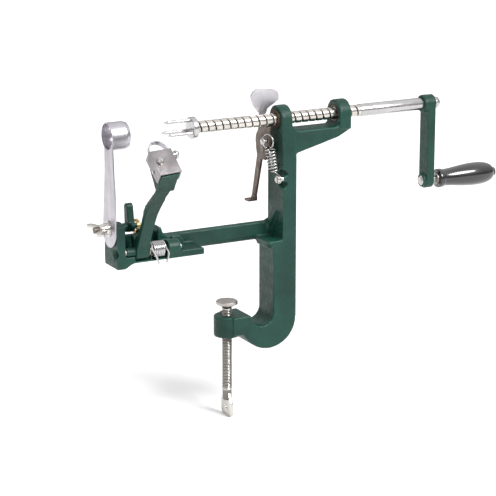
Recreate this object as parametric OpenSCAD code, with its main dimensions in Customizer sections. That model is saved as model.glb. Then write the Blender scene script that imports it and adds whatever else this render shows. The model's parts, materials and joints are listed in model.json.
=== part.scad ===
// Clamp-on apple peeler, corer and slicer.
// Origin: axis of the table clamp screw, at the height of the table top.
// +X runs along the lead screw towards the crank, +Y is away from the peeling
// arm, +Z is up.

/* [Frame] */
// Height of the lead screw's axis above the table top
axis_h = 101.4; // [98:0.2:110]
// Depth of the frame casting from front to back
frame_d = 26; // [24:1:28]
// Thickness of the upright post along the lead screw
post_t = 12; // [10:0.5:13]
// Outer radius of the two boss eyes that carry the lead screw
eye_r = 11; // [10:0.5:12]
// Top of the long bar above the table top
bar_top = 18; // [16:0.5:19]

/* [Lead screw] */
// Crest diameter of the lead screw
screw_d = 9.5; // [9:0.1:9.8]
// Distance that the lead screw moves in one turn
screw_pitch = 6.35; // [5:0.05:7]
// Outer diameter of the smooth sleeve next to the crank
sleeve_d = 10.1; // [9.9:0.05:10.2]
// Depth of the thread groove
groove_depth = 1.0; // [0.5:0.1:1.2]

/* [Crank] */
// Distance from the screw's axis to the grip's axis
crank_r = 64; // [58:1:70]
// Width of the crank arm
crank_w = 13; // [12:0.5:15]
// Length of the grip
grip_l = 57; // [50:1:62]
// Largest diameter of the grip
grip_d = 19; // [17:0.5:22]

/* [Table clamp] */
// Diameter of the clamp screw
clamp_d = 8; // [7.6:0.1:8]
// Thickness of the table that is gripped as drawn
table_t = 40.5; // [38:0.5:44]
// Length of the thumb paddle
paddle_l = 19; // [17:1:24]

/* [Peeling arm] */
// Sideways lean of the blade carrier, in degrees
head_tilt = -4; // [-8:1:0]
// Lean of the blade carrier towards the fruit, in degrees
head_lean = -50; // [-54:1:-46]
// Width of the blade carrier
carrier_w = 18; // [17:0.5:19]

/* [Slicer] */
// Inner diameter of the coring ring
core_d = 19.5; // [18:0.5:21]
// Thickness of the slicing blade
slicer_t = 1.2; // [1:0.1:1.5]

/* [Hidden] */
$fn = 48;
fit = 0.05;          // radial running clearance

half_d = frame_d / 2;

// Post and its two eyes
post_x = 43.5;
post_back = post_x + post_t;
left_eye_l = 9.5;
right_eye_x = 96;
right_eye_l = 10.4;
bush_wall = 1.4;
bush_r = sleeve_d / 2 + 0.1;
bush_flange_t = 0.8;
bridge_top = axis_h - 9.3;

// Base
foot_x = -99.5;
lug_t = 7;
lug_top = 35;
ear_x = -57;         // ear that carries the far end of the arm's pivot pin
bar_x = -48;         // where the tall bar starts
tail_end = -26;      // where the tail plate under the bar ends
tail_top = 9;
rim_top = 9.4;
tail_low = 3.8;
bar_low = 3.2;
bar_y = 7;           // front face of the bar
bar_back = 12;
flange_z = 6.4;      // top of the flange that widens the bar next to the post

// C-clamp
jaw_x = 35.5;        // inner face of the clamp's upright
jaw_z = -57;         // centre height of the round bottom
jaw_r = 24.2;
jaw_cx = post_back - jaw_r;
clamp_boss_r = 10.6;
clamp_boss_top = -52;
clamp_boss_low = -69;
table_pad_x = 32;

// Peeling arm
arm_x = -84;
arm_w = 11;          // width of the arm at its hub
arm_y = -9;
arm_z = 12;
arm_pin_r = 2.5;
arm_hub_r = 6;
barrel_r = 3.6;
spring_x0 = -70;
head_x = -79;
head_y = -59.4;
head_z = 76.9;
carrier_l = 22;
carrier_wall = 1.2;
carrier_depth = 10;
head_half = carrier_w / 2 - carrier_wall - 0.4;
// Stations in the head's own frame, as [y, z]
rock_pivot = [-2.8, 8.3];
rock_pin_r = 1.2;
blade_bolt = [-6.8, 17.3];
blade_bolt_r = 1.5;
depth_x = -3.5;
depth_z = 11.4;
depth_r = 1.5;

// Latch
latch_y = 7.5;
latch_z = 27.5;
latch_x = -82.6;
latch_w = 5.4;

// Release lever
lever_x = 36.5;
lever_t = 2.5;
lever_y = 9;
lever_z = 77;
lever_pin_r = 2;
stud_y = -10.4;
stud_z = 55.5;
stud_hook_x = 40.75;
stud_recess_r = 7.6;
spring_pin_y = 1.9;
spring_pin_z = 84.2;
spring_pin_r = 1;
spring_r = 4.15;
spring_wire = 1.1;
// Centre of the spring's large upper loop, and its radius along the wire
loop_at = [36, -1.6, 84.5];
loop_r = 5.6;
loop_turn = -70;
// Ends of the spring's coil
coil_low = [39.2, -5, 61.5];
coil_top = [36.8, -4.3, 79.3];

// Slicer
slicer_x = foot_x - 0.1 - slicer_t;
slicer_y = 0;
slicer_z = 30.2;
ring_l = 14;

// Lead screw and crank stations along X
screw_x0 = -27;
sleeve_x0 = 119.2;
hub_x = 178.2;
crank_x = 181.8;
crank_t = 7;
screw_core_r = 3.5;
grip_x = 195;
grip_z = axis_h - crank_r;
bolt_r = 2.5;

// Clamp screw
paddle_top = -116.7;

// --- shared shapes ---------------------------------------------------------

module rod_x(r, x0, x1, y = 0, z = 0) {
    translate([x0, y, z]) rotate([0, 90, 0]) cylinder(r = r, h = x1 - x0);
}

module rod_z(r, z0, z1, x = 0, y = 0) {
    translate([x, y, z0]) cylinder(r = r, h = z1 - z0);
}

// Turned part around an X axis; the outline is [distance along X, radius]
module lathe_x(outline, y = 0, z = 0) {
    translate([0, y, z]) rotate([0, 90, 0])
        rotate_extrude() polygon([for (p = outline) [p[1], p[0]]]);
}

module lathe_z(outline, x = 0, y = 0) {
    translate([x, y, 0]) rotate_extrude() polygon([for (p = outline) [p[1], p[0]]]);
}

// Side outline drawn in X and Z, given a depth in Y around y
module side(d, y = 0) {
    translate([0, y + d / 2, 0]) rotate([90, 0, 0]) linear_extrude(d) children();
}

// Front outline drawn in Y and Z, pushed from x0 to x1
module front(x0, x1) {
    translate([x0, 0, 0]) rotate([90, 0, 90]) linear_extrude(x1 - x0) children();
}

module rounded_box_2d(x0, y0, x1, y1, r) {
    translate([x0 + r, y0]) square([x1 - x0 - 2 * r, y1 - y0]);
    translate([x0, y0 + r]) square([x1 - x0, y1 - y0 - 2 * r]);
    for (x = [x0 + r, x1 - r], y = [y0 + r, y1 - r]) translate([x, y]) circle(r = r);
}

// Straight bar with round ends from point a to point b
module strap_2d(a, b, ra, rb) {
    v = b - a;
    n = [-v[1], v[0]] / norm(v);
    polygon([a + n * ra, b + n * rb, b - n * rb, a - n * ra]);
    translate(a) circle(r = ra);
    translate(b) circle(r = rb);
}

// Close-wound spring as a plain sleeve along Z
module coil_z(r, wire, l) {
    difference() {
        cylinder(r = r, h = l);
        translate([0, 0, -1]) cylinder(r = r - wire, h = l + 2);
    }
}

// Turns and shifts children into the blade carrier's own frame: Z runs up the
// carrier, X across it and -Y away from the fruit
module head_frame() {
    translate([head_x, head_y, head_z]) rotate([0, head_tilt, 0]) rotate([head_lean, 0, 0])
        children();
}

// --- frame -----------------------------------------------------------------

// Side outline of the C-clamp below the table top, with its throat
module clamp_outline() {
    throat_r = 10;
    difference() {
        union() {
            translate([jaw_cx, jaw_z]) circle(r = jaw_r);
            translate([jaw_x, jaw_z]) square([post_back - jaw_x, flange_z - 2 - jaw_z]);
            polygon([[0, clamp_boss_top], [0, -67], [8.5, -67], [16, -76],
                [jaw_cx, jaw_z], [jaw_cx, clamp_boss_top]]);
        }
        translate([-20, clamp_boss_top]) square([jaw_x + 20, flange_z - clamp_boss_top]);
        translate([jaw_x - throat_r, clamp_boss_top]) circle(r = throat_r);
    }
}

// Front outline of post and clamp: full depth below, narrowing to the eye
module post_outline() {
    shoulder_z = 70;
    polygon([[-half_d, jaw_z - jaw_r - 1], [half_d, jaw_z - jaw_r - 1],
        [half_d, shoulder_z], [eye_r, axis_h], [-eye_r, axis_h], [-half_d, shoulder_z]]);
    translate([0, axis_h]) circle(r = eye_r);
}

module bridge_outline() {
    polygon([[post_back - 1, 68], [post_back + 0.8, 71.5], [post_back + 3, 74.2],
        [95, 83.4], [100.5, 86], [104.4, 88.2], [105.4, bridge_top - 2.8], [105.4, bridge_top + 3],
        [right_eye_x, bridge_top + 3], [right_eye_x - 2.4, bridge_top],
        [post_back - 1, bridge_top]]);
}

// Bar between the ears and the post: thin web with an undercut lower edge
module bar_section() {
    polygon([[bar_y, 7.3], [bar_y + 3, bar_low], [bar_back, bar_low], [bar_back, bar_top],
        [bar_y + 0.8, bar_top], [bar_y, bar_top - 0.8]]);
}

module tail_outline() {
    polygon([[foot_x, 0], [-92, 0], [-85.5, tail_low], [tail_end, tail_low],
        [tail_end, tail_top], [foot_x, tail_top]]);
}

module frame_casting() {
    lug_x1 = foot_x + lug_t;
    color([0.12, 0.35, 0.28]) difference() {
        union() {
            intersection() {
                side(frame_d) {
                    clamp_outline();
                    translate([post_x, bar_low]) square([post_t, axis_h + eye_r]);
                }
                front(-30, post_back + 1) post_outline();
            }
            // right eye: round above, square below
            rod_x(eye_r, right_eye_x, right_eye_x + right_eye_l, 0, axis_h);
            front(right_eye_x, right_eye_x + right_eye_l)
                translate([-eye_r, bridge_top - 2.8]) square([2 * eye_r, axis_h - bridge_top + 2.8]);
            // bridge: web and top flange
            side(18) bridge_outline();
            intersection() {
                side(20) bridge_outline();
                translate([post_x, -half_d, bridge_top - 2.6]) cube([70, frame_d, 2.6]);
            }
            front(bar_x, post_x + 1) bar_section();
            // shoulder at the left end of the bar, down to the tail plate
            side(13, 5.5) polygon([[bar_x, tail_low + 1], [-38, tail_low + 1], [-38, 15],
                [-41, bar_top], [bar_x, bar_top]]);
            // flange that widens the bar to the full depth of the post
            side(frame_d) polygon([[31.5, flange_z - 2], [jaw_x + 1, 0.5], [post_x + 1, 0.5],
                [post_x + 1, flange_z], [31.5, flange_z]]);
            // slanting rib in the corner of bar and post
            front(post_x - 3, post_x + 1) polygon([[bar_back, bar_top - 2], [bar_back, bar_top + 1],
                [6, 21.6], [-2.4, 27.8], [-4, 27], [1, 20], [5, 15], [bar_y, 8], [bar_y, 15]]);
            side(24) tail_outline();
            // lug that carries the slicer
            front(foot_x, lug_x1) rounded_box_2d(-half_d, 0, 12, lug_top, 3);
            // rim along the front of the tail plate
            translate([foot_x, -half_d, tail_low]) cube([tail_end - foot_x, 1, rim_top - tail_low]);
            // ears for the peeling arm's pivot pin
            rod_x(arm_hub_r + 0.5, ear_x, bar_x + 1, arm_y, arm_z);
            side(11, 6.5) polygon([[ear_x - 2, tail_low + 1], [bar_x + 1, tail_low + 1],
                [bar_x + 1, bar_top], [ear_x + 4.5, 19], [ear_x + 2.4, 21.5], [ear_x + 1, 26],
                [ear_x - 1, 26], [ear_x - 2, 25]]);
            // wall behind the hub, from the lug to the ear
            side(3.5, 10.2) translate([lug_x1 - 1, tail_low + 1]) square([36, 16.4]);
            side(20, -2) polygon([[ear_x, tail_low + 1], [bar_x + 1, tail_low + 1],
                [bar_x + 1, 15], [ear_x, 15]]);
            // rest for the table edge, and boss for the clamp screw
            side(19, 1.5) translate([table_pad_x, 0]) square([jaw_x + 1 - table_pad_x, flange_z - 1]);
            rod_z(clamp_boss_r, clamp_boss_low, clamp_boss_top);
        }
        // screw eyes
        rod_x(bush_r + bush_wall, post_x - 1, post_back + 1, 0, axis_h);
        rod_x(bush_r + bush_wall, right_eye_x - 1, right_eye_x + right_eye_l + 1, 0, axis_h);
        // relief behind the left eye, so that the eye is shorter than the post
        translate([post_x + left_eye_l, -half_d - 1, axis_h - bush_r - 1])
            cube([post_t, frame_d + 2, 2 * eye_r]);
        // pocket around the arm's hub and its spring, and the gap in the rim for the hub
        translate([lug_x1, 1 - half_d, tail_low + 1.4])
            cube([ear_x - lug_x1, half_d - 0.5, lug_top]);
        translate([lug_x1, -half_d - 1, rim_top]) cube([ear_x - lug_x1, 3, lug_top]);
        translate([arm_x - 0.6, -half_d - 1, tail_low + 1.4]) cube([arm_w + 2, 3, lug_top]);
        translate([spring_x0 - 0.6, -half_d - 1, tail_low + 1.4]) cube([12.2, 3, lug_top]);
        rod_x(arm_pin_r, foot_x - 1, bar_x + 4, arm_y, arm_z);
        rod_x(4, foot_x - 1, foot_x + 1.5, arm_y, arm_z);
        // recess and hole for the spring stud
        lathe_x([[post_x - 1, 0], [post_x - 1, stud_recess_r], [post_x, stud_recess_r],
            [post_x + 1.5, 7.3], [post_x + 3, 6.4], [post_x + 4.2, 4.9], [post_x + 4.2, 3.6],
            [post_x + 0.5, 2.6], [post_x + 0.5, 0]], stud_y, stud_z);
        rod_x(2, post_x, post_back - 2, stud_y, stud_z);
        rod_x(lever_pin_r, post_x - 1, post_back - 2, lever_y, lever_z);
        rod_x(bolt_r + fit, foot_x - 1, lug_x1 + 1, slicer_y, slicer_z);
        rod_x(2, lug_x1 - 5, lug_x1 + 1, latch_y, latch_z);
        rod_z(clamp_d / 2 + fit, clamp_boss_low - 1, clamp_boss_top + 1);
    }
}

module bush(x0, x1, flange_x) {
    r = bush_r + bush_wall;
    color([0.62, 0.45, 0.30]) difference() {
        union() {
            rod_x(r, x0, x1, 0, axis_h);
            rod_x(r + 1.2, flange_x, flange_x + bush_flange_t, 0, axis_h);
        }
        rod_x(bush_r, x0 - 1, x1 + 1, 0, axis_h);
    }
}

module left_bush() {
    bush(post_x, post_x + left_eye_l, post_x - bush_flange_t);
}

module right_bush() {
    x1 = right_eye_x + right_eye_l;
    bush(right_eye_x, x1, x1);
}

// --- lead screw, fork and crank ------------------------------------------------

// Solid rod with one ring groove for each turn of the thread
module lead_screw() {
    turns = floor((sleeve_x0 - screw_x0 - 4) / screw_pitch);
    groove_w = 1.2;
    color([0.82, 0.82, 0.84]) difference() {
        union() {
            rod_x(screw_d / 2, screw_x0, sleeve_x0, 0, axis_h);
            rod_x(screw_core_r, sleeve_x0 - 1, crank_x + crank_t + 6, 0, axis_h);
        }
        for (i = [0 : turns - 1]) {
            x = screw_x0 + 6 + i * screw_pitch;
            lathe_x([[x, screw_d / 2 + 1], [x, screw_d / 2 - groove_depth],
                [x + groove_w, screw_d / 2 - groove_depth], [x + groove_w, screw_d / 2 + 1]],
                0, axis_h);
        }
        rod_x(2.5, screw_x0 - 1, screw_x0 + 9, 0, axis_h);
        translate([screw_x0 + 3, 0, axis_h - 10]) cylinder(r = 1, h = 20);
        translate([crank_x + 3.5, 0, axis_h - 10]) cylinder(r = 1.2, h = 20);
    }
}

module screw_sleeve() {
    color([0.85, 0.85, 0.87]) difference() {
        rod_x(sleeve_d / 2, sleeve_x0, hub_x, 0, axis_h);
        rod_x(screw_core_r + fit, sleeve_x0 - 1, hub_x + 1, 0, axis_h);
    }
}

// Boss that holds the prongs; its spigot is pinned inside the lead screw
module fork_hub() {
    color([0.70, 0.70, 0.72]) difference() {
        union() {
            lathe_x([[screw_x0 - 4.5, 0], [screw_x0 - 4.5, 7.9], [screw_x0 - 3.9, 8.5],
                [screw_x0 - 0.6, 8.5], [screw_x0, 7.9], [screw_x0, 0]], 0, axis_h);
            rod_x(2.5, screw_x0 - 1, screw_x0 + 8.5, 0, axis_h);
        }
        for (a = [90, 210, 330]) rotate_prong(a)
            rod_x(1.3, screw_x0 - 6, screw_x0 + 1);
        translate([screw_x0 + 3, 0, axis_h - 10]) cylinder(r = 1, h = 20);
    }
}

module rotate_prong(a) {
    translate([0, 0, axis_h]) rotate([a, 0, 0]) translate([0, 6, 0]) children();
}

module fork_prongs() {
    tip_x = screw_x0 - 28;
    color([0.80, 0.80, 0.82]) for (a = [90, 210, 330]) rotate_prong(a)
        lathe_x([[tip_x, 0], [tip_x + 5, 1.3], [screw_x0 - 0.5, 1.3], [screw_x0 - 0.5, 0]]);
}

module fork_pin() {
    color([0.65, 0.65, 0.67]) translate([screw_x0 + 3, 0, axis_h - screw_d / 2 + 0.1])
        cylinder(r = 1, h = screw_d - 0.2);
}

// Cast arm with a round hub at the screw and a boss at the grip's bolt
module crank_arm() {
    color([0.12, 0.35, 0.28]) difference() {
        union() {
            front(crank_x, crank_x + crank_t)
                strap_2d([0, axis_h], [0, grip_z], crank_w / 2, crank_w / 2);
            lathe_x([[hub_x, 0], [hub_x, 6.4], [hub_x + 0.8, 7.2], [crank_x + crank_t, 7.2],
                [crank_x + crank_t, 0]], 0, axis_h);
            rod_x(5.5, crank_x - 2.2, crank_x + 1, 0, grip_z);
        }
        rod_x(screw_core_r, hub_x - 1, crank_x + crank_t + 1, 0, axis_h);
        rod_x(bolt_r, crank_x - 4, crank_x + crank_t + 1, 0, grip_z);
        translate([crank_x + 3.5, 0, axis_h - 8.5]) cylinder(r = 1.2, h = 17);
    }
}

module crank_nut() {
    x0 = crank_x + crank_t;
    color([0.75, 0.75, 0.77]) difference() {
        lathe_x([[x0, 0], [x0, 5], [x0 + 2.5, 5], [x0 + 5, 4.2], [x0 + 5, 0]], 0, axis_h);
        rod_x(screw_core_r, x0 - 1, x0 + 8, 0, axis_h);
    }
}

module crank_key_pin() {
    color([0.65, 0.65, 0.67]) translate([crank_x + 3.5, 0, axis_h - 7])
        cylinder(r = 1.2, h = 14);
}

// Shouldered bolt: rivet head behind the crank, plain shank through the grip
module grip_bolt() {
    x_end = grip_x + grip_l - 4;
    color([0.75, 0.75, 0.77]) lathe_x([[crank_x - 3.6, 0], [crank_x - 3.4, 2.6],
        [crank_x - 2.2, 4], [crank_x - 2.2, bolt_r], [x_end, bolt_r], [x_end, 0]], 0, grip_z);
}

module grip_washer() {
    x0 = grip_x - 1.5;
    color([0.72, 0.72, 0.74]) difference() {
        rod_x(5, x0, x0 + 1.2, 0, grip_z);
        rod_x(bolt_r + fit, x0 - 1, x0 + 3, 0, grip_z);
    }
}

// Turned black grip: collar, waist, swell and rounded end
module grip() {
    steps = 16;
    waist = [0, 7.9];
    r_end = grip_d / 2;
    color([0.03, 0.03, 0.03]) difference() {
        lathe_x(concat([[grip_x, 0], [grip_x, 7], [grip_x + 0.8, 7.8], [grip_x + 4, 7.8],
            [grip_x + 5.2, 7.0]],
            [for (i = [1 : steps]) grip_point(i / steps, r_end)],
            [[grip_x + grip_l, 0]]), 0, grip_z);
        rod_x(bolt_r + fit, grip_x - 1, grip_x + grip_l - 3.9, 0, grip_z);
        rod_x(3.8, grip_x + grip_l - 4, grip_x + grip_l + 1, 0, grip_z);
    }
}

// Point on the grip's long swell, t from 0 at the collar to 1 at the end
function grip_point(t, r_end) =
    let (swell = 7.0 + (r_end - 7.0) * pow(sin(90 * min(1, t / 0.62)), 2),
         close = t > 0.62 ? sqrt(max(0, 1 - pow((t - 0.62) / 0.385, 2))) : 1)
    [grip_x + 5.2 + t * (grip_l - 5.2), swell * close];

module grip_end_cap() {
    x1 = grip_x + grip_l;
    color([0.05, 0.05, 0.05]) rod_x(3.7, x1 - 3.9, x1 - 0.4, 0, grip_z);
}

// --- release lever ------------------------------------------------------------

// Curved plate that hugs the back of the lead screw, with a long tail below
module lever_plate_2d() {
    hug_r = screw_d / 2 + 0.9;
    difference() {
        union() {
            translate([9.8, 82]) circle(r = 11);
            polygon([[-1, 96.5], [-0.6, 88], [-0.6, 80], [1.3, 75], [5.4, 68], [17.8, 68], [20, 76],
                [20.8, 82], [15.5, 94], [12.9, 104], [12.5, 108], [6.5, 108], [0, 107]]);
            strap_2d([14.7, 71], [24.5, 35.5], 3.35, 2.5);
        }
        translate([0, axis_h]) circle(r = hug_r);
        translate([-20, axis_h - hug_r]) square([20, 20]);
        translate([-20, 40]) square([18.5, 60]);
        // room for the loop of the spring, and for the thumb plate
        translate([-20, 60]) square([21.3, 20]);
        translate([-20, 79]) square([19.4, 10]);
        translate([-5, 104]) square([16, 10]);
    }
}

module release_lever() {
    x1 = lever_x + lever_t;
    color([0.30, 0.25, 0.22]) difference() {
        union() {
            front(lever_x, x1) lever_plate_2d();
            translate([lever_x - 6.1, 21.4, 31.6]) cube([lever_t + 6.1, 6.4, 2]);
            front(lever_x, x1) translate([21.4, 31.6]) square([6.4, 4]);
            // neck that turns out of the lever's plane to carry the thumb plate
            translate([lever_x - 1.3, 11, 103]) cube([4.6, 2, 9.5]);
        }
        thumb_rivet_holes(1);
        rod_x(lever_pin_r + fit, lever_x - 1, x1 + 1, lever_y, lever_z);
        rod_x(spring_pin_r, lever_x - 1, x1 + 1, spring_pin_y, spring_pin_z);
    }
}

module thumb_plate() {
    color([0.75, 0.75, 0.76]) difference() {
        side(1.6, 10.1) polygon([[26.7, 119.4], [28.4, 122.6], [31.6, 124.5], [46.7, 123.2],
            [50, 121.5], [51.4, 118.4], [51.2, 114.5], [41.4, 108.6], [40.4, 106],
            [39.6, 104.5], [36.5, 104.1], [34.4, 104.5], [28.9, 111.3], [26.7, 117.8]]);
        thumb_rivet_holes(1);
    }
}

// Two rivets from behind, which end inside the thumb plate
module thumb_rivet_holes(r) {
    for (z = [106.6, 110.4]) translate([37.3, 20, z]) rotate([90, 0, 0]) cylinder(r = r, h = 10.1);
}

module thumb_plate_rivets() {
    color([0.6, 0.6, 0.6]) for (z = [106.6, 110.4]) {
        translate([37.3, 13, z]) rotate([90, 0, 0]) cylinder(r = 1, h = 3.1);
        translate([37.3, 13.7, z]) rotate([90, 0, 0]) cylinder(r = 1.7, h = 0.7);
    }
}

module lever_screw() {
    x0 = lever_x - 0.6;
    color([0.80, 0.80, 0.82]) lathe_x([[x0, 0], [x0, 2.5], [x0 + 0.4, 2.8],
        [lever_x - 0.1, 2.8], [lever_x - 0.1, lever_pin_r], [post_x + 8, lever_pin_r],
        [post_x + 8, 0]], lever_y, lever_z);
}

module lever_spacer() {
    x0 = lever_x + lever_t + 0.1;
    color([0.7, 0.7, 0.7]) difference() {
        rod_x(3.6, x0, post_x, lever_y, lever_z);
        rod_x(lever_pin_r, x0 - 1, post_x + 1, lever_y, lever_z);
    }
}

module lever_spring_pin() {
    x1 = lever_x - 3.3;
    color([0.7, 0.7, 0.7]) lathe_x([[x1 - 1.6, 0], [x1 - 1.6, 1.6], [x1 - 1.1, 2.5],
        [x1 - 0.5, 2.8], [x1, 2.8], [x1, spring_pin_r], [lever_x + lever_t, spring_pin_r],
        [lever_x + lever_t, 0]], spring_pin_y, spring_pin_z);
}

// Extension spring between the lever's pin and the stud on the post
module lever_spring() {
    span = coil_top - coil_low;
    l = norm(span);
    wire_r = spring_wire / 2;
    color([0.78, 0.78, 0.80]) {
        translate(coil_low) rotate([0, acos(span[2] / l), atan2(span[1], span[0])])
            coil_z(spring_r, spring_wire, l);
        wire_between([stud_hook_x, stud_y + 2.7, stud_z + 2.8], coil_low + [0, -3.6, 0.4]);
        translate(loop_at) rotate([0, 0, loop_turn]) rotate([90, 0, 0])
            translate([0, 0, -wire_r]) coil_z(loop_r + wire_r, spring_wire, spring_wire);
    }
}

// Straight piece of the spring's wire from point a to point b
module wire_between(a, b) {
    v = b - a;
    l = norm(v);
    translate(a) rotate([0, acos(v[2] / l), atan2(v[1], v[0])])
        cylinder(r = spring_wire / 2, h = l);
}

module spring_stud() {
    x0 = stud_hook_x - 0.6;
    x1 = stud_hook_x + 0.6;
    color([0.80, 0.78, 0.76]) lathe_x([[x0 - 2.4, 0], [x0 - 2.2, 1.6], [x0 - 1.5, 2.8],
        [x0 - 0.6, 3.15], [x0, 3.15], [x0, 1.9], [x1, 1.9], [x1, 2.6], [x1 + 1, 2.6],
        [x1 + 1, 2], [post_back - 3, 2], [post_back - 3, 0]], stud_y, stud_z);
}

// --- peeling arm --------------------------------------------------------------

// Outline of the arm in Y and Z: hub, straight rise, then the bend to the head
module arm_outline_2d() {
    translate([arm_y, arm_z]) circle(r = arm_hub_r);
    polygon([[-15, 12], [-14.4, 14], [-24, 35], [-28.3, 42.6], [-33.7, 49.5], [-42.5, 57.5],
        [-52, 67], [-57.3, 72.8], [-55.4, 73.9], [-51.9, 69.6], [-49.5, 67.2], [-48.4, 66.1],
        [-34.1, 56.2], [-29.4, 52.5], [-25.5, 48.1], [-18.5, 34], [-5, 16.5], [arm_y, arm_z]]);
}

// Width of the arm along its height, as an outline in X and Z
module arm_width_2d() {
    x1 = arm_x + arm_w;
    polygon([[arm_x, 5], [x1, 5], [x1, 15], [-74, 20], [-73.4, 35], [-73, 49],
        [-74.2, 62], [-73.2, 70], [-72.6, 80], [-86.2, 80], [-85.6, 64], [-83.6, 49], [-83, 35],
        [-83.8, 20], [arm_x, 15]]);
}

module peeler_arm() {
    color([0.12, 0.35, 0.28]) difference() {
        union() {
            intersection() {
                front(arm_x - 10, arm_x + 20) arm_outline_2d();
                side(80, -30) arm_width_2d();
            }
            // barrel of the hub, up to the lug
            rod_x(barrel_r, foot_x + lug_t + 1.1, arm_x + 1, arm_y, arm_z);
            // head that stands inside the carrier's channel
            head_frame() front(-head_half, head_half)
                polygon([[4.5, -1], [-7.2, -1], [-7.2, 12], [0, 17.7], [3.35, 17.7], [11.4, -1.7]]);
            // tail that the latch catches
            front(arm_x + 1, arm_x + arm_w - 3)
                strap_2d([arm_y, arm_z], [arm_y + 6, arm_z + 10], 5, 2.5);
        }
        rod_x(arm_pin_r + fit, foot_x, arm_x + arm_w + 1, arm_y, arm_z);
        head_frame() rod_x(rock_pin_r, -20, 20, rock_pivot[0], rock_pivot[1]);
    }
}

module arm_pivot_pin() {
    color([0.72, 0.72, 0.74]) rod_x(arm_pin_r, foot_x + 3.5, bar_x + 3, arm_y, arm_z);
}

module arm_pin_clip() {
    color([0.4, 0.4, 0.42]) difference() {
        rod_x(4.6, arm_x + arm_w + 0.2, arm_x + arm_w + 1, arm_y, arm_z);
        rod_x(arm_pin_r, arm_x, 0, arm_y, arm_z);
    }
}

module arm_spacer() {
    color([0.30, 0.25, 0.22]) difference() {
        rod_x(barrel_r - 0.6, foot_x + lug_t + 0.1, foot_x + lug_t + 0.9, arm_y, arm_z);
        rod_x(arm_pin_r, foot_x, arm_x + 1, arm_y, arm_z);
    }
}

// Torsion spring around the pivot pin; its legs push on the arm and on the base
module arm_spring() {
    x0 = spring_x0;
    l = 11;
    wire = 1.6;
    color([0.78, 0.78, 0.80]) {
        translate([x0, arm_y, arm_z]) rotate([0, 90, 0]) coil_z(6.5, wire, l);
        translate([x0 + 0.8, arm_y - 5.7, 1.2]) cylinder(r = wire / 2, h = arm_z - 1.2);
        translate([x0 + l - 0.8, arm_y - 5.7, 1.2]) cylinder(r = wire / 2, h = arm_z - 1.2);
    }
}

// Bent steel channel that rocks on the arm's head and holds the peeling blade
module blade_carrier() {
    half = carrier_w / 2;
    color([0.72, 0.70, 0.74]) head_frame() difference() {
        translate([-half, -carrier_depth, 0]) cube([carrier_w, carrier_depth, carrier_l]);
        translate([-half + carrier_wall, -carrier_depth + carrier_wall, -1])
            cube([carrier_w - 2 * carrier_wall, carrier_depth, carrier_l + 2]);
        rod_x(rock_pin_r + fit, -20, 20, rock_pivot[0], rock_pivot[1]);
        rod_x(blade_bolt_r, 0, 20, blade_bolt[0], blade_bolt[1]);
        translate([depth_x, 0, depth_z]) rotate([90, 0, 0]) cylinder(r = depth_r, h = 20);
    }
}

module carrier_pivot() {
    x1 = carrier_w / 2 + 0.7;
    color([0.80, 0.80, 0.82]) head_frame() rod_x(rock_pin_r, -x1, x1, rock_pivot[0], rock_pivot[1]);
}

// Half width of the blade's arch at height t, from 0 at its feet to 1 at its top
function arch_half(t, a) = a * sqrt(1 - t * t);

// Arched strip blade whose feet stand inside the carrier's walls
module peeling_blade() {
    a = carrier_w / 2 - carrier_wall - 0.05;
    t = 0.9;
    rise = 10;
    foot = 6.7;
    steps = 12;
    color([0.80, 0.79, 0.82]) head_frame() difference() {
        side(4, -6.6) difference() {
            arch_2d(a, rise, foot, steps);
            arch_2d(a - t, rise - t, foot + 1, steps);
        }
        rod_x(blade_bolt_r, 0, 20, blade_bolt[0], blade_bolt[1]);
    }
}

module arch_2d(a, rise, foot, steps) {
    polygon(concat([[-a, carrier_l - foot]],
        [for (i = [0 : steps - 1]) [-arch_half(i / steps, a), carrier_l + rise * i / steps]],
        [[-arch_half(0.975, a), carrier_l + rise * 0.975], [0, carrier_l + rise],
            [arch_half(0.975, a), carrier_l + rise * 0.975]],
        [for (i = [steps - 1 : -1 : 0]) [arch_half(i / steps, a), carrier_l + rise * i / steps]],
        [[a, carrier_l - foot]]));
}

// Round-headed screw that holds the blade's foot against the carrier's wall
module blade_screw() {
    x0 = carrier_w / 2;
    color([0.82, 0.82, 0.84]) head_frame() lathe_x([[x0 - 3, 0], [x0 - 3, blade_bolt_r],
        [x0, blade_bolt_r], [x0, 2.4], [x0 + 1.6, 2.4], [x0 + 2.2, 3.2], [x0 + 3.2, 3.3],
        [x0 + 4.6, 2.6], [x0 + 5.4, 1.2], [x0 + 5.6, 0]], blade_bolt[0], blade_bolt[1]);
}

// Set screw in the carrier that limits how far it can rock on the head
module depth_screw() {
    color([0.78, 0.78, 0.80]) head_frame() translate([depth_x, 0, depth_z]) rotate([90, 0, 0])
        rotate_extrude() polygon([[0, 8], [depth_r, 8], [depth_r, 11.4], [2.7, 11.4], [2.4, 12.8],
            [1.2, 13.6], [0, 13.7]]);
}

module depth_lock_nut() {
    color([0.74, 0.74, 0.76]) head_frame() translate([depth_x, -carrier_depth, depth_z])
        rotate([90, 0, 0]) difference() {
            cylinder(r = 3.4, h = 1.35, $fn = 6);
            translate([0, 0, -1]) cylinder(r = depth_r, h = 5);
        }
}

// --- latch --------------------------------------------------------------------

// Cast finger behind the arm that holds the arm swung out
module arm_latch() {
    x1 = latch_x + latch_w;
    color([0.12, 0.35, 0.28]) difference() {
        union() {
            front(latch_x, x1)
                strap_2d([latch_y, latch_z], [latch_y + 1.5, 43], 3.9, 3.1);
            front(latch_x + 0.2, x1 - 0.2)
                strap_2d([latch_y, latch_z], [latch_y - 8, latch_z + 3], 3, 1.8);
            rod_x(3.5, foot_x + lug_t + 0.3, x1 - 1, latch_y, latch_z);
        }
        rod_x(2 + fit, foot_x, x1 + 1, latch_y, latch_z);
    }
}

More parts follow.
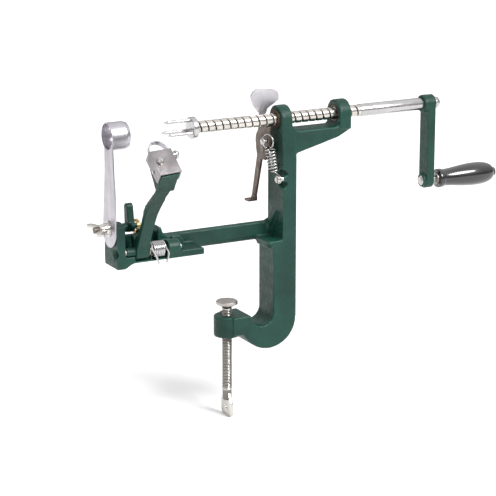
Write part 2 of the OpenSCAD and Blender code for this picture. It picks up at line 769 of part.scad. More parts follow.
module latch_screw() {
    x1 = latch_x + latch_w + 6;
    color([0.75, 0.75, 0.77]) lathe_x([[foot_x + lug_t - 4, 0], [foot_x + lug_t - 4, 2],
        [x1 - 1, 2], [x1 - 1, 3.2], [x1, 2.8], [x1, 0]], latch_y, latch_z);
}

module latch_spring() {
    x0 = latch_x + latch_w + 0.3;
    color([0.66, 0.50, 0.28]) {
        translate([x0, latch_y, latch_z]) rotate([0, 90, 0]) coil_z(5.8, 1.2, 4.4);
        translate([x0 + 3.8, latch_y - 5.2, tail_top + 0.2])
            cylinder(r = 0.6, h = latch_z - tail_top - 0.2);
    }
}

// --- slicer and corer -----------------------------------------------------------

module slicing_blade() {
    ring_r = core_d / 2 + 1;
    color([0.74, 0.73, 0.78]) difference() {
        union() {
            rod_x(11.3, slicer_x, slicer_x + slicer_t, -0.5, 27);
            front(slicer_x, slicer_x + slicer_t)
                polygon([[-11.7, 28], [-12.4, 52], [-9.7, 78], [-8.9, axis_h - 6],
                    [5.6, axis_h - 6], [5.8, 75], [8.4, 52], [10.7, 28]]);
            rod_x(ring_r, slicer_x, slicer_x + slicer_t, 0, axis_h);
        }
        rod_x(core_d / 2, slicer_x - 1, slicer_x + slicer_t + 1, 0, axis_h);
        rod_x(bolt_r + fit, slicer_x - 1, slicer_x + slicer_t + 1, slicer_y, slicer_z);
    }
}

// Sharpened tube that cuts out the core
module coring_ring() {
    x0 = slicer_x + slicer_t;
    r_in = core_d / 2;
    color([0.76, 0.75, 0.80]) difference() {
        lathe_x([[x0, 0], [x0, r_in + 1], [x0 + ring_l - 3, r_in + 1], [x0 + ring_l, r_in + 0.2],
            [x0 + ring_l, 0]], 0, axis_h);
        rod_x(r_in, x0 - 1, x0 + ring_l + 1, 0, axis_h);
    }
}

module slicer_bolt() {
    x1 = foot_x + lug_t;
    color([0.45, 0.45, 0.46]) union() {
        rod_x(bolt_r, -113, x1 + 1, slicer_y, slicer_z);
        lathe_x([[x1, 0], [x1, 4.6], [x1 + 1.5, 4], [x1 + 3, 1.6], [x1 + 3.2, 0]],
            slicer_y, slicer_z);
    }
}

module slicer_washer() {
    x1 = slicer_x - 0.05;
    color([0.8, 0.79, 0.77]) difference() {
        rod_x(6, x1 - 1, x1, slicer_y, slicer_z);
        rod_x(bolt_r + fit, x1 - 3, x1 + 1, slicer_y, slicer_z);
    }
}

module wing_nut() {
    x1 = slicer_x - 1.15;
    hub_l = 5.5;
    color([0.82, 0.80, 0.77]) translate([0, slicer_y, slicer_z]) rotate([8, 0, 0]) difference() {
        union() {
            lathe_x([[x1 - hub_l - 1.5, 0], [x1 - hub_l - 1.5, 3.4], [x1 - hub_l, 4],
                [x1 - 1.5, 4.6], [x1, 5], [x1, 0]]);
            for (s = [0, 1]) mirror([0, s, 0]) translate([0, 0, -1]) linear_extrude(2) {
                strap_2d([x1 - 3.5, 3], [x1 - 9.5, 9], 2.2, 3.4);
            }
        }
        rod_x(bolt_r + fit, x1 - 20, x1 + 1);
    }
}

// --- table clamp ----------------------------------------------------------------

// Threaded rod with a neck for the swivel pad and a flattened end for the paddle
module clamp_screw() {
    r = clamp_d / 2;
    z1 = -table_t - 3;
    color([0.55, 0.52, 0.49]) difference() {
        lathe_z([[paddle_top - 6, 0], [paddle_top - 6, r - 0.4], [paddle_top + 1.5, r - 0.4],
            [paddle_top + 3, r], [z1 - 3, r], [z1 - 2.5, 2], [z1 + 1, 2], [z1 + 1.2, 0]]);
        translate([-1.05, -5, paddle_top - 8]) cube([2.1, 10, 8]);
        translate([-6, 0, paddle_top - 3.5]) rotate([0, 90, 0]) cylinder(r = 1, h = 12);
    }
}

// Swivel disc that bears on the underside of the table
module clamp_pad() {
    z1 = -table_t;
    color([0.6, 0.58, 0.55]) difference() {
        lathe_z([[z1 - 4.6, 0], [z1 - 4.6, 4.5], [z1 - 2.4, 8.6], [z1 - 0.5, 8.6],
            [z1, 8.1], [z1, 0]]);
        rod_z(2 + fit, z1 - 5, z1 - 1.6);
    }
}

module clamp_paddle() {
    z0 = paddle_top - paddle_l;
    color([0.84, 0.83, 0.81]) difference() {
        union() {
            front(-1, 1) rounded_box_2d(-8.5, z0, 8.5, paddle_top - 5, 3.5);
            front(-1, 1) polygon([[-8, paddle_top - 8], [-4, paddle_top - 0.2],
                [4, paddle_top - 0.2], [8, paddle_top - 8]]);
        }
        rod_x(1.8, -2, 2, 0, paddle_top - 12);
        rod_x(1, -2, 2, 0, paddle_top - 3.5);
    }
}

module paddle_pin() {
    color([0.6, 0.6, 0.6]) rod_x(1, -3.4, 3.4, 0, paddle_top - 3.5);
}

frame_casting();
left_bush();
right_bush();
lead_screw();
screw_sleeve();
fork_hub();
fork_prongs();
fork_pin();
crank_arm();
crank_nut();
crank_key_pin();
grip_bolt();
grip_washer();
grip();
grip_end_cap();
release_lever();
thumb_plate();
thumb_plate_rivets();
lever_screw();
lever_spacer();
lever_spring_pin();
lever_spring();
spring_stud();
peeler_arm();
arm_pivot_pin();
arm_pin_clip();
arm_spacer();
arm_spring();
blade_carrier();
carrier_pivot();
peeling_blade();
blade_screw();
depth_screw();
depth_lock_nut();
arm_latch();
latch_screw();
latch_spring();
slicing_blade();
coring_ring();
slicer_bolt();
slicer_washer();
wing_nut();
clamp_screw();
clamp_pad();
clamp_paddle();
paddle_pin();
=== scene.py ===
import json
import math

import bmesh
import bpy
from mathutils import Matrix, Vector


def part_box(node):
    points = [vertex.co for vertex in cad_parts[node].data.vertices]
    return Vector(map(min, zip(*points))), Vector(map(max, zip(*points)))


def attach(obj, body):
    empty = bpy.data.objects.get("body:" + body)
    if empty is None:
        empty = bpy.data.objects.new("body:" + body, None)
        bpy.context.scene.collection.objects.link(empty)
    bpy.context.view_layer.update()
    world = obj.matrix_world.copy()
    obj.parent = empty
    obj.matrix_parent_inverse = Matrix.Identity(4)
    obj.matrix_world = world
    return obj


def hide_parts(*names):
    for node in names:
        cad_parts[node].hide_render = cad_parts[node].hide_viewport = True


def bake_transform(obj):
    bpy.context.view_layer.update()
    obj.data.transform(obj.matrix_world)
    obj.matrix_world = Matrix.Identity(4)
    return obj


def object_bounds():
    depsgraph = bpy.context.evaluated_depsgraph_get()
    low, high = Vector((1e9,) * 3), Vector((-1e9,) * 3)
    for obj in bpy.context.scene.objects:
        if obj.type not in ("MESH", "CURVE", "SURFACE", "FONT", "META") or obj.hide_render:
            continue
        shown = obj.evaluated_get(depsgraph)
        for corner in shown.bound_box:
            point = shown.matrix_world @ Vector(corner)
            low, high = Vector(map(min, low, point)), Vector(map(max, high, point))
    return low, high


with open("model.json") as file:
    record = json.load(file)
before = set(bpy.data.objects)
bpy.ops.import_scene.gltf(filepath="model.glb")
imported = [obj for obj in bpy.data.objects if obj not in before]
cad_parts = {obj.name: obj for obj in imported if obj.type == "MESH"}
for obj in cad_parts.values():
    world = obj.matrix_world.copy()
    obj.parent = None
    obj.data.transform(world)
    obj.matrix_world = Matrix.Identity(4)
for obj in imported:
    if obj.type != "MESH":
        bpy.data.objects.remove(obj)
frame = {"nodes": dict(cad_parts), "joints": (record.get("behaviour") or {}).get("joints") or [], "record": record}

CAD_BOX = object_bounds()
MM = 0.001
NODES = frame["nodes"]
BODY_OF = {n: b for b, ns in frame["record"]["behaviour"]["bodies"].items() for n in ns}
JOINTS = {j["name"]: j for j in frame["joints"]}
SLOT_OF = {s["node"]: s["material_slot"] for s in frame["record"]["subparts"]}


# --- materials ---------------------------------------------------------------

class Shader:
    """A node material with one Principled shader and short calls for its detail."""

    def __init__(self, name, colour, metallic=0.0, roughness=0.5, **sockets):
        self.mat = bpy.data.materials.new(name)
        self.mat.use_nodes = True
        self.tree = self.mat.node_tree
        self.bsdf = self.tree.nodes["Principled BSDF"]
        self.set("Base Color", (*colour, 1.0))
        self.set("Metallic", metallic)
        self.set("Roughness", roughness)
        for key, value in sockets.items():
            self.set(key.replace("_", " "), value)
        self.coords = self.tree.nodes.new("ShaderNodeTexCoord").outputs["Object"]

    def set(self, socket, value):
        self.bsdf.inputs[socket].default_value = value

    def link(self, a, b):
        self.tree.links.new(a, b)

    def mapped(self, scale):
        node = self.tree.nodes.new("ShaderNodeMapping")
        node.inputs["Scale"].default_value = scale
        self.link(self.coords, node.inputs["Vector"])
        return node.outputs["Vector"]

    def noise(self, scale, detail=3.0, stretch=(1, 1, 1)):
        node = self.tree.nodes.new("ShaderNodeTexNoise")
        node.inputs["Scale"].default_value = scale
        node.inputs["Detail"].default_value = detail
        self.link(self.mapped(stretch), node.inputs["Vector"])
        return node.outputs["Fac"]

    def ramp(self, fac, stops):
        node = self.tree.nodes.new("ShaderNodeValToRGB")
        elements = node.color_ramp.elements
        while len(elements) < len(stops):
            elements.new(0.5)
        for element, (place, colour) in zip(elements, stops):
            element.position = place
            element.color = (*colour, 1.0)
        self.link(fac, node.inputs["Fac"])
        return node.outputs["Color"]

    def value(self, fac, low, high, start=0.3, end=0.7):
        node = self.tree.nodes.new("ShaderNodeMapRange")
        for key, number in (("From Min", start), ("From Max", end),
                            ("To Min", low), ("To Max", high)):
            node.inputs[key].default_value = number
        self.link(fac, node.inputs["Value"])
        return node.outputs["Result"]

    def mix(self, fac, a, b):
        node = self.tree.nodes.new("ShaderNodeMix")
        node.data_type = "RGBA"
        for source, key in ((fac, "Factor"), (a, "A"), (b, "B")):
            if isinstance(source, tuple):
                node.inputs[key].default_value = (*source, 1.0)
            else:
                self.link(source, node.inputs[key])
        return node.outputs["Result"]

    def bump(self, *layers):
        """Layers of (height, strength, distance in metres), stacked."""
        normal = None
        for height, strength, distance in layers:
            node = self.tree.nodes.new("ShaderNodeBump")
            node.inputs["Strength"].default_value = strength
            node.inputs["Distance"].default_value = distance
            self.link(height, node.inputs["Height"])
            if normal is not None:
                self.link(normal, node.inputs["Normal"])
            normal = node.outputs["Normal"]
        self.link(normal, self.bsdf.inputs["Normal"])

    def pointiness(self):
        return self.tree.nodes.new("ShaderNodeNewGeometry").outputs["Pointiness"]


def cast_paint():
    """Blue-green enamel on a sand casting: soft orange-peel, thin on the edges."""
    s = Shader("cast_green_paint", (0.008, 0.06, 0.045), roughness=0.46,
               Specular_IOR_Level=0.32, Coat_Weight=0.06, Coat_Roughness=0.25)
    patches = s.noise(38.0, 5.0)
    deep = s.ramp(patches, [(0.30, (0.0015, 0.026, 0.018)), (0.72, (0.006, 0.052, 0.036))])
    rubbed = (0.035, 0.13, 0.10)
    edges = s.value(s.pointiness(), 0.0, 0.7, 0.515, 0.60)
    s.link(s.mix(edges, deep, rubbed), s.bsdf.inputs["Base Color"])
    s.link(s.value(s.noise(210.0), 0.36, 0.54), s.bsdf.inputs["Roughness"])
    s.bump((s.noise(330.0, 4.0), 0.5, 0.0009), (s.noise(1300.0, 2.0), 0.3, 0.0003))
    return s.mat


def metal(name, colour, roughness, grain, grain_scale=1.0, spread=0.08, bump=0.06, dark_patch_level=0.85):
    """A metal with fine grain running along one axis. grain stretches the noise."""
    s = Shader(name, colour, metallic=1.0, roughness=roughness)
    lines = s.noise(900.0 * grain_scale, 3.0, grain)
    cloud = s.noise(95.0, 4.0)
    darker = tuple(c * dark_patch_level for c in colour)
    s.link(s.mix(s.value(cloud, 0.0, 1.0), colour, darker), s.bsdf.inputs["Base Color"])
    s.link(s.value(lines, roughness - spread, roughness + spread), s.bsdf.inputs["Roughness"])
    s.bump((lines, bump, 0.0002))
    return s.mat


def grooved_steel(axis, centre, groove_r, crest_r):
    """Plated thread with painted shade in the groove: colour follows the distance to the axis."""
    s = Shader("threaded_steel", (0.70, 0.68, 0.66), metallic=1.0, roughness=0.22)
    node = s.tree.nodes.new("ShaderNodeMapping")
    node.inputs["Scale"].default_value = [0.0 if i == axis else 1.0 for i in range(3)]
    node.inputs["Location"].default_value = [0.0 if i == axis else -centre[i] for i in range(3)]
    s.link(s.coords, node.inputs["Vector"])
    length = s.tree.nodes.new("ShaderNodeVectorMath")
    length.operation = "LENGTH"
    s.link(node.outputs["Vector"], length.inputs[0])
    crest = s.value(length.outputs["Value"], 0.0, 1.0, groove_r, crest_r)
    # painted shade: the colour turns near black towards the groove bottom, standing in for the shade inside the
    # thread
    groove_painted_shade = (0.035, 0.028, 0.022)
    plate = s.mix(s.value(s.noise(120.0, 4.0), 0.0, 1.0), (0.74, 0.71, 0.68), (0.56, 0.52, 0.48))
    s.link(s.mix(crest, groove_painted_shade, plate), s.bsdf.inputs["Base Color"])
    s.link(s.value(crest, 0.6, 0.22, 0.0, 1.0), s.bsdf.inputs["Roughness"])
    s.bump((s.noise(900.0, 3.0, (0.15, 1, 1)), 0.08, 0.0002))
    return s.mat


def dark_pressing():
    """Oiled, heat-darkened steel plate with brown patches and bright rubbed edges."""
    s = Shader("dark_steel_plate", (0.16, 0.13, 0.11), metallic=0.9, roughness=0.45)
    patches = s.noise(130.0, 5.0)
    body = s.ramp(patches, [(0.3, (0.085, 0.062, 0.050)), (0.7, (0.20, 0.165, 0.145))])
    edges = s.value(s.pointiness(), 0.0, 0.9, 0.52, 0.62)
    rubbed = (0.42, 0.38, 0.35)
    s.link(s.mix(edges, body, rubbed), s.bsdf.inputs["Base Color"])
    s.link(s.value(s.noise(500.0), 0.34, 0.55), s.bsdf.inputs["Roughness"])
    s.bump((s.noise(800.0, 3.0, (1, 1, 0.25)), 0.15, 0.0003))
    return s.mat


def polished_black():
    """Black lacquered grip: deep gloss with a faint turned grain."""
    s = Shader("black_lacquer", (0.006, 0.006, 0.007), roughness=0.2,
               Coat_Weight=1.0, Coat_Roughness=0.05)
    grain = s.noise(60.0, 4.0, (1, 9, 9))
    s.link(s.ramp(grain, [(0.3, (0.004, 0.004, 0.005)), (0.75, (0.012, 0.012, 0.013))]),
           s.bsdf.inputs["Base Color"])
    s.link(s.value(grain, 0.16, 0.27), s.bsdf.inputs["Roughness"])
    s.bump((grain, 0.05, 0.0003))
    return s.mat


MATERIALS = {
    "green_paint": cast_paint(),
    "bright_steel": metal("bright_plated_steel", (0.58, 0.57, 0.57), 0.22, (0.15, 1, 1)),
    "brushed_steel": metal("ground_blade_steel", (0.55, 0.53, 0.57), 0.34, (1, 1, 0.04),
                           bump=0.12),
    "dark_steel": dark_pressing(),
    "zinc": metal("dull_zinc_plate", (0.52, 0.49, 0.46), 0.38, (1, 1, 1), 0.5, dark_patch_level=0.7),
    "nickel": metal("nickel_plate", (0.76, 0.73, 0.69), 0.22, (1, 1, 1), 0.4, dark_patch_level=0.75),
    # Bronze bush tone, darkened well below bare bronze as painted shade of the bore
    "bronze": metal("bronze_darkened_as_bore_shade", (0.17, 0.115, 0.085), 0.42, (1, 1, 1), 0.6, dark_patch_level=0.5),
    "brass": metal("brass_wire", (0.68, 0.50, 0.24), 0.25, (1, 1, 1), 0.5, dark_patch_level=0.7),
    "black_grip": polished_black(),
}


# --- mesh tools ---------------------------------------------------------------

def add_piece(name, mesh, node_names, material=None, rides=True):
    """Links a new piece that stands for CAD nodes and rides on their body."""
    first = node_names[0]
    piece = bpy.data.objects.new(name, mesh)
    bpy.context.scene.collection.objects.link(piece)
    for polygon in mesh.polygons:
        polygon.use_smooth = True
    mesh.materials.clear()
    mesh.materials.append(material or MATERIALS[SLOT_OF[first]])
    if rides:
        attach(piece, BODY_OF[first])
    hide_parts(*node_names)
    return piece


def grid_mesh(name, rings):
    """A closed tube through rings of points, each ring the same length."""
    count = len(rings[0])
    verts = [tuple(p) for ring in rings for p in ring]
    faces = []
    for i in range(len(rings) - 1):
        for j in range(count):
            k = (j + 1) % count
            faces.append((i * count + j, i * count + k, (i + 1) * count + k, (i + 1) * count + j))
    faces.append(tuple(range(count))[::-1])
    faces.append(tuple(range((len(rings) - 1) * count, len(rings) * count)))
    mesh = bpy.data.meshes.new(name)
    mesh.from_pydata(verts, [], faces)
    mesh.update()
    return mesh


def welded(node):
    """A bmesh copy of a CAD node with its split vertices joined."""
    bm = bmesh.new()
    bm.from_mesh(NODES[node].data)
    bmesh.ops.remove_doubles(bm, verts=bm.verts, dist=1e-6)
    return bm


def cast_copy(node, voxel, rounds=7):
    """The node with the soft fillets and rounded corners of a casting or a pressing."""
    bm = welded(node)
    mesh = bpy.data.meshes.new(node + "_rough")
    bm.to_mesh(mesh)
    bm.free()
    rough = bpy.data.objects.new(node + "_rough", mesh)
    bpy.context.scene.collection.objects.link(rough)
    remesh = rough.modifiers.new("remesh", "REMESH")
    remesh.mode = "VOXEL"
    remesh.voxel_size = voxel
    relax = rough.modifiers.new("relax", "SMOOTH")
    relax.factor = 0.5
    relax.iterations = rounds
    depsgraph = bpy.context.evaluated_depsgraph_get()
    result = bpy.data.meshes.new_from_object(rough.evaluated_get(depsgraph))
    bpy.data.objects.remove(rough)
    add_piece(node + "_cast", result, [node])


def machined_copy(node, bevel):
    """The node with small bevels on its sharp edges, so that they catch the light."""
    bm = welded(node)
    bmesh.ops.dissolve_limit(bm, angle_limit=math.radians(1.0), verts=bm.verts, edges=bm.edges)
    limit = math.radians(30.0)
    sharp = [e for e in bm.edges if e.is_manifold and e.calc_face_angle(0.0) > limit]
    bmesh.ops.bevel(bm, geom=sharp, offset=bevel, segments=2, profile=0.6,
                    affect="EDGES", clamp_overlap=True)
    mesh = bpy.data.meshes.new(node + "_finish")
    bm.to_mesh(mesh)
    bm.free()
    piece = add_piece(node + "_finish", mesh, [node])
    mesh.set_sharp_from_angle(angle=math.radians(35.0))
    return piece


def tube_rings(points, radius, sides=12):
    """Rings of a round wire along points, carried along without twist."""
    pts = [Vector(p) for p in points]
    rings = []
    normal = None
    for i, p in enumerate(pts):
        along = (pts[min(i + 1, len(pts) - 1)] - pts[max(i - 1, 0)]).normalized()
        if normal is None:
            normal = along.orthogonal().normalized()
        normal = (normal - along * normal.dot(along)).normalized()
        side = along.cross(normal)
        rings.append([p + radius * (math.cos(a) * normal + math.sin(a) * side)
                      for a in (2 * math.pi * k / sides for k in range(sides))])
    return rings


def wire_piece(name, points, radius, nodes, rides=True):
    return add_piece(name, grid_mesh(name, tube_rings(points, radius)), nodes, rides=rides)


def smooth_path(points, steps=6):
    """Catmull-Rom curve through given points."""
    pts = [Vector(p) for p in points]
    pts = [pts[0] * 2 - pts[1]] + pts + [pts[-1] * 2 - pts[-2]]
    out = []
    for i in range(1, len(pts) - 2):
        a, b, c, d = pts[i - 1:i + 3]
        for k in range(steps):
            t = k / steps
            out.append(0.5 * (2 * b + (c - a) * t + (2 * a - 5 * b + 4 * c - d) * t ** 2
                              + (3 * b - a - 3 * c + d) * t ** 3))
    out.append(pts[-2])
    return out


# --- lead screw -----------------------------------------------------------------

def thread_rings(start, end, crest, lead, depth, half_width, step, sides=56, runout=2.2 * MM):
    """Rings of a right-hand thread as (distance along, radius per side)."""
    rings = []
    count = round((end - start) / step)
    for i in range(count + 1):
        along = start + (end - start) * i / count
        fade = min(1.0, (along - start) / runout, (end - along) / runout)
        radii = []
        for k in range(sides):
            offset = ((along - start) / lead - k / sides + 0.5) % 1.0 - 0.5
            across = abs(offset) * lead / half_width
            cut = depth * fade * (math.cos(min(across, 1.0) * math.pi) + 1) / 2
            radii.append(crest - cut)
        rings.append((along, radii))
    return rings


def clamp_screw_piece():
    """Fine right-hand thread between the swivel pad's neck and the paddle's end."""
    low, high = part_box("clamp_screw")
    crest = (high.x - low.x) / 2
    lead = 2 * math.pi / abs(next(c["ratio"] for c in frame["record"]["behaviour"]["couplings"]
                                  if c["joint"] == "clamp_turn"))
    sides = 40
    plain = [(low.z, 0.82), (low.z + 0.4 * MM, 0.9), (low.z + 7.5 * MM, 0.9),
             (low.z + 9 * MM, 0.94)]
    neck_z = high.z - 4.2 * MM
    rings = [(z, [crest * f] * sides) for z, f in plain]
    rings += thread_rings(low.z + 9.2 * MM, neck_z, crest, lead, 0.62 * MM, 0.5 * lead, 0.16 * MM,
                          sides, 1.5 * MM)
    rings += [(neck_z + 0.5 * MM, [2 * MM] * sides), (high.z, [2 * MM] * sides)]
    turned = [[(r * math.cos(2 * math.pi * k / sides), r * math.sin(2 * math.pi * k / sides), z)
               for k, r in enumerate(radii)] for z, radii in rings]
    mesh = grid_mesh("clamp_screw_thread", turned)
    material = grooved_steel(2, (0, 0, 0), crest - 0.55 * MM, crest - 0.1 * MM)
    add_piece("clamp_screw_thread", mesh, ["clamp_screw"], material)


def lead_screw_piece():
    """Right-hand thread with broad bright crests and a narrow rounded groove."""
    low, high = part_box("lead_screw")
    sleeve_low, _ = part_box("screw_sleeve")
    axis_z = (low.z + high.z) / 2
    crest = (high.z - low.z) / 2
    lead = abs(next(c["ratio"] for c in frame["record"]["behaviour"]["couplings"]
                    if c["joint"] == "screw_travel")) * 2 * math.pi
    sides = 56
    end = sleeve_low.x
    rings = []
    for x, radii in thread_rings(low.x, end, crest, lead, 1.0 * MM, 0.9 * MM, 0.21 * MM, sides):
        chamfer = max(0.0, 0.5 * MM - (x - low.x))
        rings.append([(x, (r - chamfer) * math.cos(2 * math.pi * k / sides),
                       axis_z + (r - chamfer) * math.sin(2 * math.pi * k / sides))
                      for k, r in enumerate(radii)])
    core = 3.5 * MM
    for x, r in ((end, core), (high.x - 0.6 * MM, core), (high.x, core - 0.6 * MM)):
        rings.append([(x, r * math.cos(2 * math.pi * k / sides),
                       axis_z + r * math.sin(2 * math.pi * k / sides)) for k in range(sides)])
    mesh = grid_mesh("lead_screw_thread", rings)
    material = grooved_steel(0, (0, 0, axis_z), crest - 0.8 * MM, crest - 0.12 * MM)
    add_piece("lead_screw_thread", mesh, ["lead_screw"], material)
    mesh.set_sharp_from_angle(angle=math.radians(50.0))


# --- springs ----------------------------------------------------------------------

def coil_points(centre, axis, radius, length, turns, start_angle=0.0, per_turn=24):
    """Helix that starts at centre and runs length along axis."""
    axis = Vector(axis).normalized()
    u = axis.orthogonal().normalized()
    v = axis.cross(u)
    count = int(turns * per_turn)
    return [Vector(centre) + axis * (length * i / count)
            + radius * (math.cos(start_angle + 2 * math.pi * turns * i / count) * u
                        + math.sin(start_angle + 2 * math.pi * turns * i / count) * v)
            for i in range(count + 1)]


def lever_spring_piece():
    """Extension spring: a large loop over the lever's pin, the coil, a hook round the stud."""
    stud_low, stud_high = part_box("spring_stud")
    pin_low, pin_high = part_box("lever_spring_pin")
    wire = 0.58 * MM
    stud = (stud_low + stud_high) / 2
    stud.x = stud_low.x + 3.0 * MM
    pin = (pin_low + pin_high) / 2
    pin.x = pin_low.x + 4.1 * MM
    loop = pin + Vector((0.0, -3.5, 0.3)) * MM
    low = stud + Vector((-1.55, 5.4, 6.0)) * MM
    top = pin + Vector((0.8, -6.2, -4.9)) * MM
    radius = 4.5 * MM - wire
    coil = coil_points(low, top - low, radius, (top - low).length, 7.25, math.radians(120))
    across = Vector((0.34, -0.94, 0.0))
    ring = [loop + 5.6 * MM * (math.cos(a) * across + math.sin(a) * Vector((0, 0, 1)))
            for a in (math.radians(-75 + 330 * k / 22) for k in range(23))]
    hook = [stud + 3.2 * MM * Vector((0, math.cos(a), math.sin(a)))
            for a in (math.radians(95 + 235 * k / 14) for k in range(15))]
    start = [low + Vector((1.2, -2.0, -1.4)) * MM]
    path = smooth_path(hook[::-1] + start[::-1] + [coil[3]], 3)[:-1] + coil[3:-3]
    path += smooth_path([coil[-3]] + ring, 3)[1:]
    piece = wire_piece("lever_spring_wire", path, wire, ["lever_spring"], rides=False)
    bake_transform(piece)


def arm_spring_piece():
    """Torsion spring on the arm's pivot: one leg on the arm, one on the base."""
    low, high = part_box("arm_spring")
    pivot = Vector(JOINTS["arm_swing"]["pos_m"])
    wire = 0.8 * MM
    radius = 6.5 * MM - wire
    left = Vector((low.x + wire, pivot.y, pivot.z))
    length = high.x - low.x - 2 * wire
    coil = coil_points(left, (1, 0, 0), radius, length, 6.25, math.radians(20))
    foot_z = low.z + wire
    base_leg = [Vector((high.x + 1.5 * MM, pivot.y - 5.8 * MM, pivot.z - 2.5 * MM)),
                Vector((high.x - 0.2 * MM, pivot.y - 5.6 * MM, foot_z))]
    arm_leg = [Vector((low.x - 1.6 * MM, pivot.y - 6.0 * MM, pivot.z + 4.2 * MM)),
               Vector((low.x - 1.9 * MM, pivot.y - 6.3 * MM, pivot.z + 2.8 * MM)),
               Vector((low.x + 2.5 * MM, pivot.y - 5.6 * MM, foot_z + 5 * MM)),
               Vector((low.x + 4.0 * MM, pivot.y - 5.6 * MM, foot_z))]
    path = smooth_path(arm_leg[::-1] + [coil[0]], 4)[:-1] + coil
    path += smooth_path([coil[-1]] + base_leg, 4)[1:]
    piece = wire_piece("arm_spring_wire", path, wire, ["arm_spring"], rides=False)
    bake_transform(piece)


def latch_spring_piece():
    """Brass torsion spring beside the latch, with one leg down to the base."""
    low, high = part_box("latch_spring")
    pivot = Vector(JOINTS["latch_swing"]["pos_m"])
    wire = 0.6 * MM
    radius = 5.8 * MM - wire
    coil = coil_points(Vector((low.x + wire, pivot.y, pivot.z)), (1, 0, 0), radius,
                       high.x - low.x - 2 * wire, 3.4, math.radians(90))
    leg = [Vector((high.x - wire, pivot.y + 4.2 * MM, pivot.z - 8 * MM)),
           Vector((high.x - wire, pivot.y + 4.0 * MM, low.z + wire))]
    path = coil[:-1] + smooth_path([coil[-1]] + leg, 4)
    wire_piece("latch_spring_wire", path, wire, ["latch_spring"])


# --- grip ------------------------------------------------------------------------

def grip_piece():
    """Turned grip from a smooth outline, finer than the CAD solid."""
    low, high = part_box("grip")
    axis_z = (low.z + high.z) / 2
    r_max = (high.z - low.z) / 2
    length = high.x - low.x
    # (share of the length, share of the largest radius)
    outline = [(0.0, 0.29), (0.0, 0.70), (0.006, 0.78), (0.02, 0.82), (0.065, 0.82),
               (0.082, 0.795), (0.09, 0.745), (0.13, 0.735), (0.25, 0.785), (0.42, 0.905),
               (0.58, 0.985), (0.68, 1.0), (0.78, 0.975), (0.87, 0.89), (0.94, 0.74),
               (0.975, 0.58), (0.993, 0.42), (1.0, 0.30)]
    sides = 72
    rings = []
    for point in smooth_path([(x * length, r * r_max, 0) for x, r in outline], 5):
        x, radius = low.x + min(max(point.x, 0.0), length), min(point.y, r_max)
        rings.append([(x, radius * math.cos(a), axis_z + radius * math.sin(a))
                      for a in (2 * math.pi * k / sides for k in range(sides))])
    add_piece("grip_turned", grid_mesh("grip_turned", rings), ["grip"])


# --- build ------------------------------------------------------------------------

for node_name, obj in NODES.items():
    obj.data.materials.clear()
    obj.data.materials.append(MATERIALS[SLOT_OF[node_name]])

for node_name, voxel in (("frame_casting", 0.75), ("crank_arm", 0.5), ("peeler_arm", 0.5),
                         ("arm_latch", 0.4)):
    cast_copy(node_name, voxel * MM)
cast_copy("release_lever", 0.35 * MM, 4)

for node_name, bevel in (("slicing_blade", 0.12), ("peeling_blade", 0.12),
                         ("clamp_paddle", 0.4), ("wing_nut", 0.4), ("fork_hub", 0.2),
                         ("slicer_washer", 0.15), ("screw_sleeve", 0.3)):
    machined_copy(node_name, bevel * MM)

# Darker copy of the ground blade steel with deeper dark patches: painted shade and a painted dark reflection of
# the fruit in the carrier web
machined_copy("blade_carrier", 0.3 * MM).data.materials[0] = metal(
    "carrier_steel_painted_shade", (0.40, 0.37, 0.38), 0.36, (1, 1, 0.04), bump=0.12, dark_patch_level=0.6)
machined_copy("thumb_plate", 0.35 * MM).data.materials[0] = metal(
    "matte_plate", (0.60, 0.58, 0.61), 0.5, (1, 1, 1), 0.5, dark_patch_level=0.92)

lead_screw_piece()
clamp_screw_piece()
lever_spring_piece()
arm_spring_piece()
latch_spring_piece()
grip_piece()


# --- camera, floor and light --------------------------------------------------------

def add_camera():
    data = bpy.data.cameras.new("camera")
    data.lens = 144.0
    data.sensor_width = 36.0
    data.clip_end = 20.0
    camera = bpy.data.objects.new("camera", data)
    camera.location = (-0.6926, -1.3354, 0.4055)
    yaw, pitch = math.radians(28.05), math.radians(15.0)
    flat = math.cos(pitch)
    look = Vector((math.sin(yaw) * flat, math.cos(yaw) * flat, -math.sin(pitch)))
    camera.rotation_mode = "QUATERNION"
    camera.rotation_quaternion = look.to_track_quat("-Z", "Y")
    bpy.context.scene.collection.objects.link(camera)
    bpy.context.scene.camera = camera


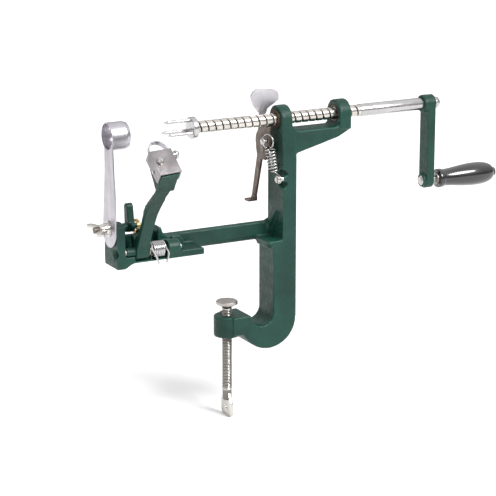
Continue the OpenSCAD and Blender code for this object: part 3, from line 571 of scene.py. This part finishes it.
def add_floor():
    """A flat pale sheet just below the object's lowest point."""
    floor_z = CAD_BOX[0].z - 0.0005
    s = Shader("pale_floor", (0.86, 0.86, 0.86), roughness=0.85)
    s.link(s.value(s.noise(9.0), 0.8, 0.9), s.bsdf.inputs["Roughness"])
    mesh = bpy.data.meshes.new("floor")
    bm = bmesh.new()
    bmesh.ops.create_grid(bm, x_segments=2, y_segments=2, size=4.0)
    bm.to_mesh(mesh)
    bm.free()
    mesh.materials.append(s.mat)
    floor = bpy.data.objects.new("floor", mesh)
    floor.location = (0.0, 0.0, floor_z)
    bpy.context.scene.collection.objects.link(floor)


def add_light(name, place, target, size, power):
    data = bpy.data.lights.new(name, "AREA")
    data.shape = "RECTANGLE"
    data.size, data.size_y = size
    data.energy = power
    light = bpy.data.objects.new(name, data)
    light.location = place
    aim = Vector(target) - Vector(place)
    light.rotation_mode = "QUATERNION"
    light.rotation_quaternion = aim.to_track_quat("-Z", "Y")
    bpy.context.scene.collection.objects.link(light)


def add_sun(name, direction, strength, angle):
    data = bpy.data.lights.new(name, "SUN")
    data.energy = strength
    data.angle = math.radians(angle)
    light = bpy.data.objects.new(name, data)
    light.rotation_mode = "QUATERNION"
    light.rotation_quaternion = Vector(direction).to_track_quat("-Z", "Y")
    bpy.context.scene.collection.objects.link(light)


def add_world():
    """White overhead, grey at the horizon, so that upright faces stay darker."""
    world = bpy.data.worlds.new("studio")
    world.use_nodes = True
    tree = world.node_tree
    place = tree.nodes.new("ShaderNodeTexCoord")
    split = tree.nodes.new("ShaderNodeSeparateXYZ")
    ramp = tree.nodes.new("ShaderNodeValToRGB")
    ramp.color_ramp.elements[0].position = 0.0
    ramp.color_ramp.elements[0].color = (0.16, 0.16, 0.16, 1.0)
    ramp.color_ramp.elements[1].position = 0.75
    ramp.color_ramp.elements[1].color = (1.0, 1.0, 1.0, 1.0)
    tree.links.new(place.outputs["Generated"], split.inputs["Vector"])
    tree.links.new(split.outputs["Z"], ramp.inputs["Fac"])
    background = tree.nodes["Background"]
    tree.links.new(ramp.outputs["Color"], background.inputs["Color"])
    background.inputs["Strength"].default_value = 1.05
    bpy.context.scene.world = world


add_camera()
add_floor()
add_world()
add_sun("key_light", (-0.45, 1.3, -1.17), 3.3, 26.0)
add_light("left_fill", (-1.6, -0.3, 0.5), (0.0, 0.0, 0.03), (1.0, 1.0), 0.6)
bpy.context.scene.view_settings.view_transform = "Standard"
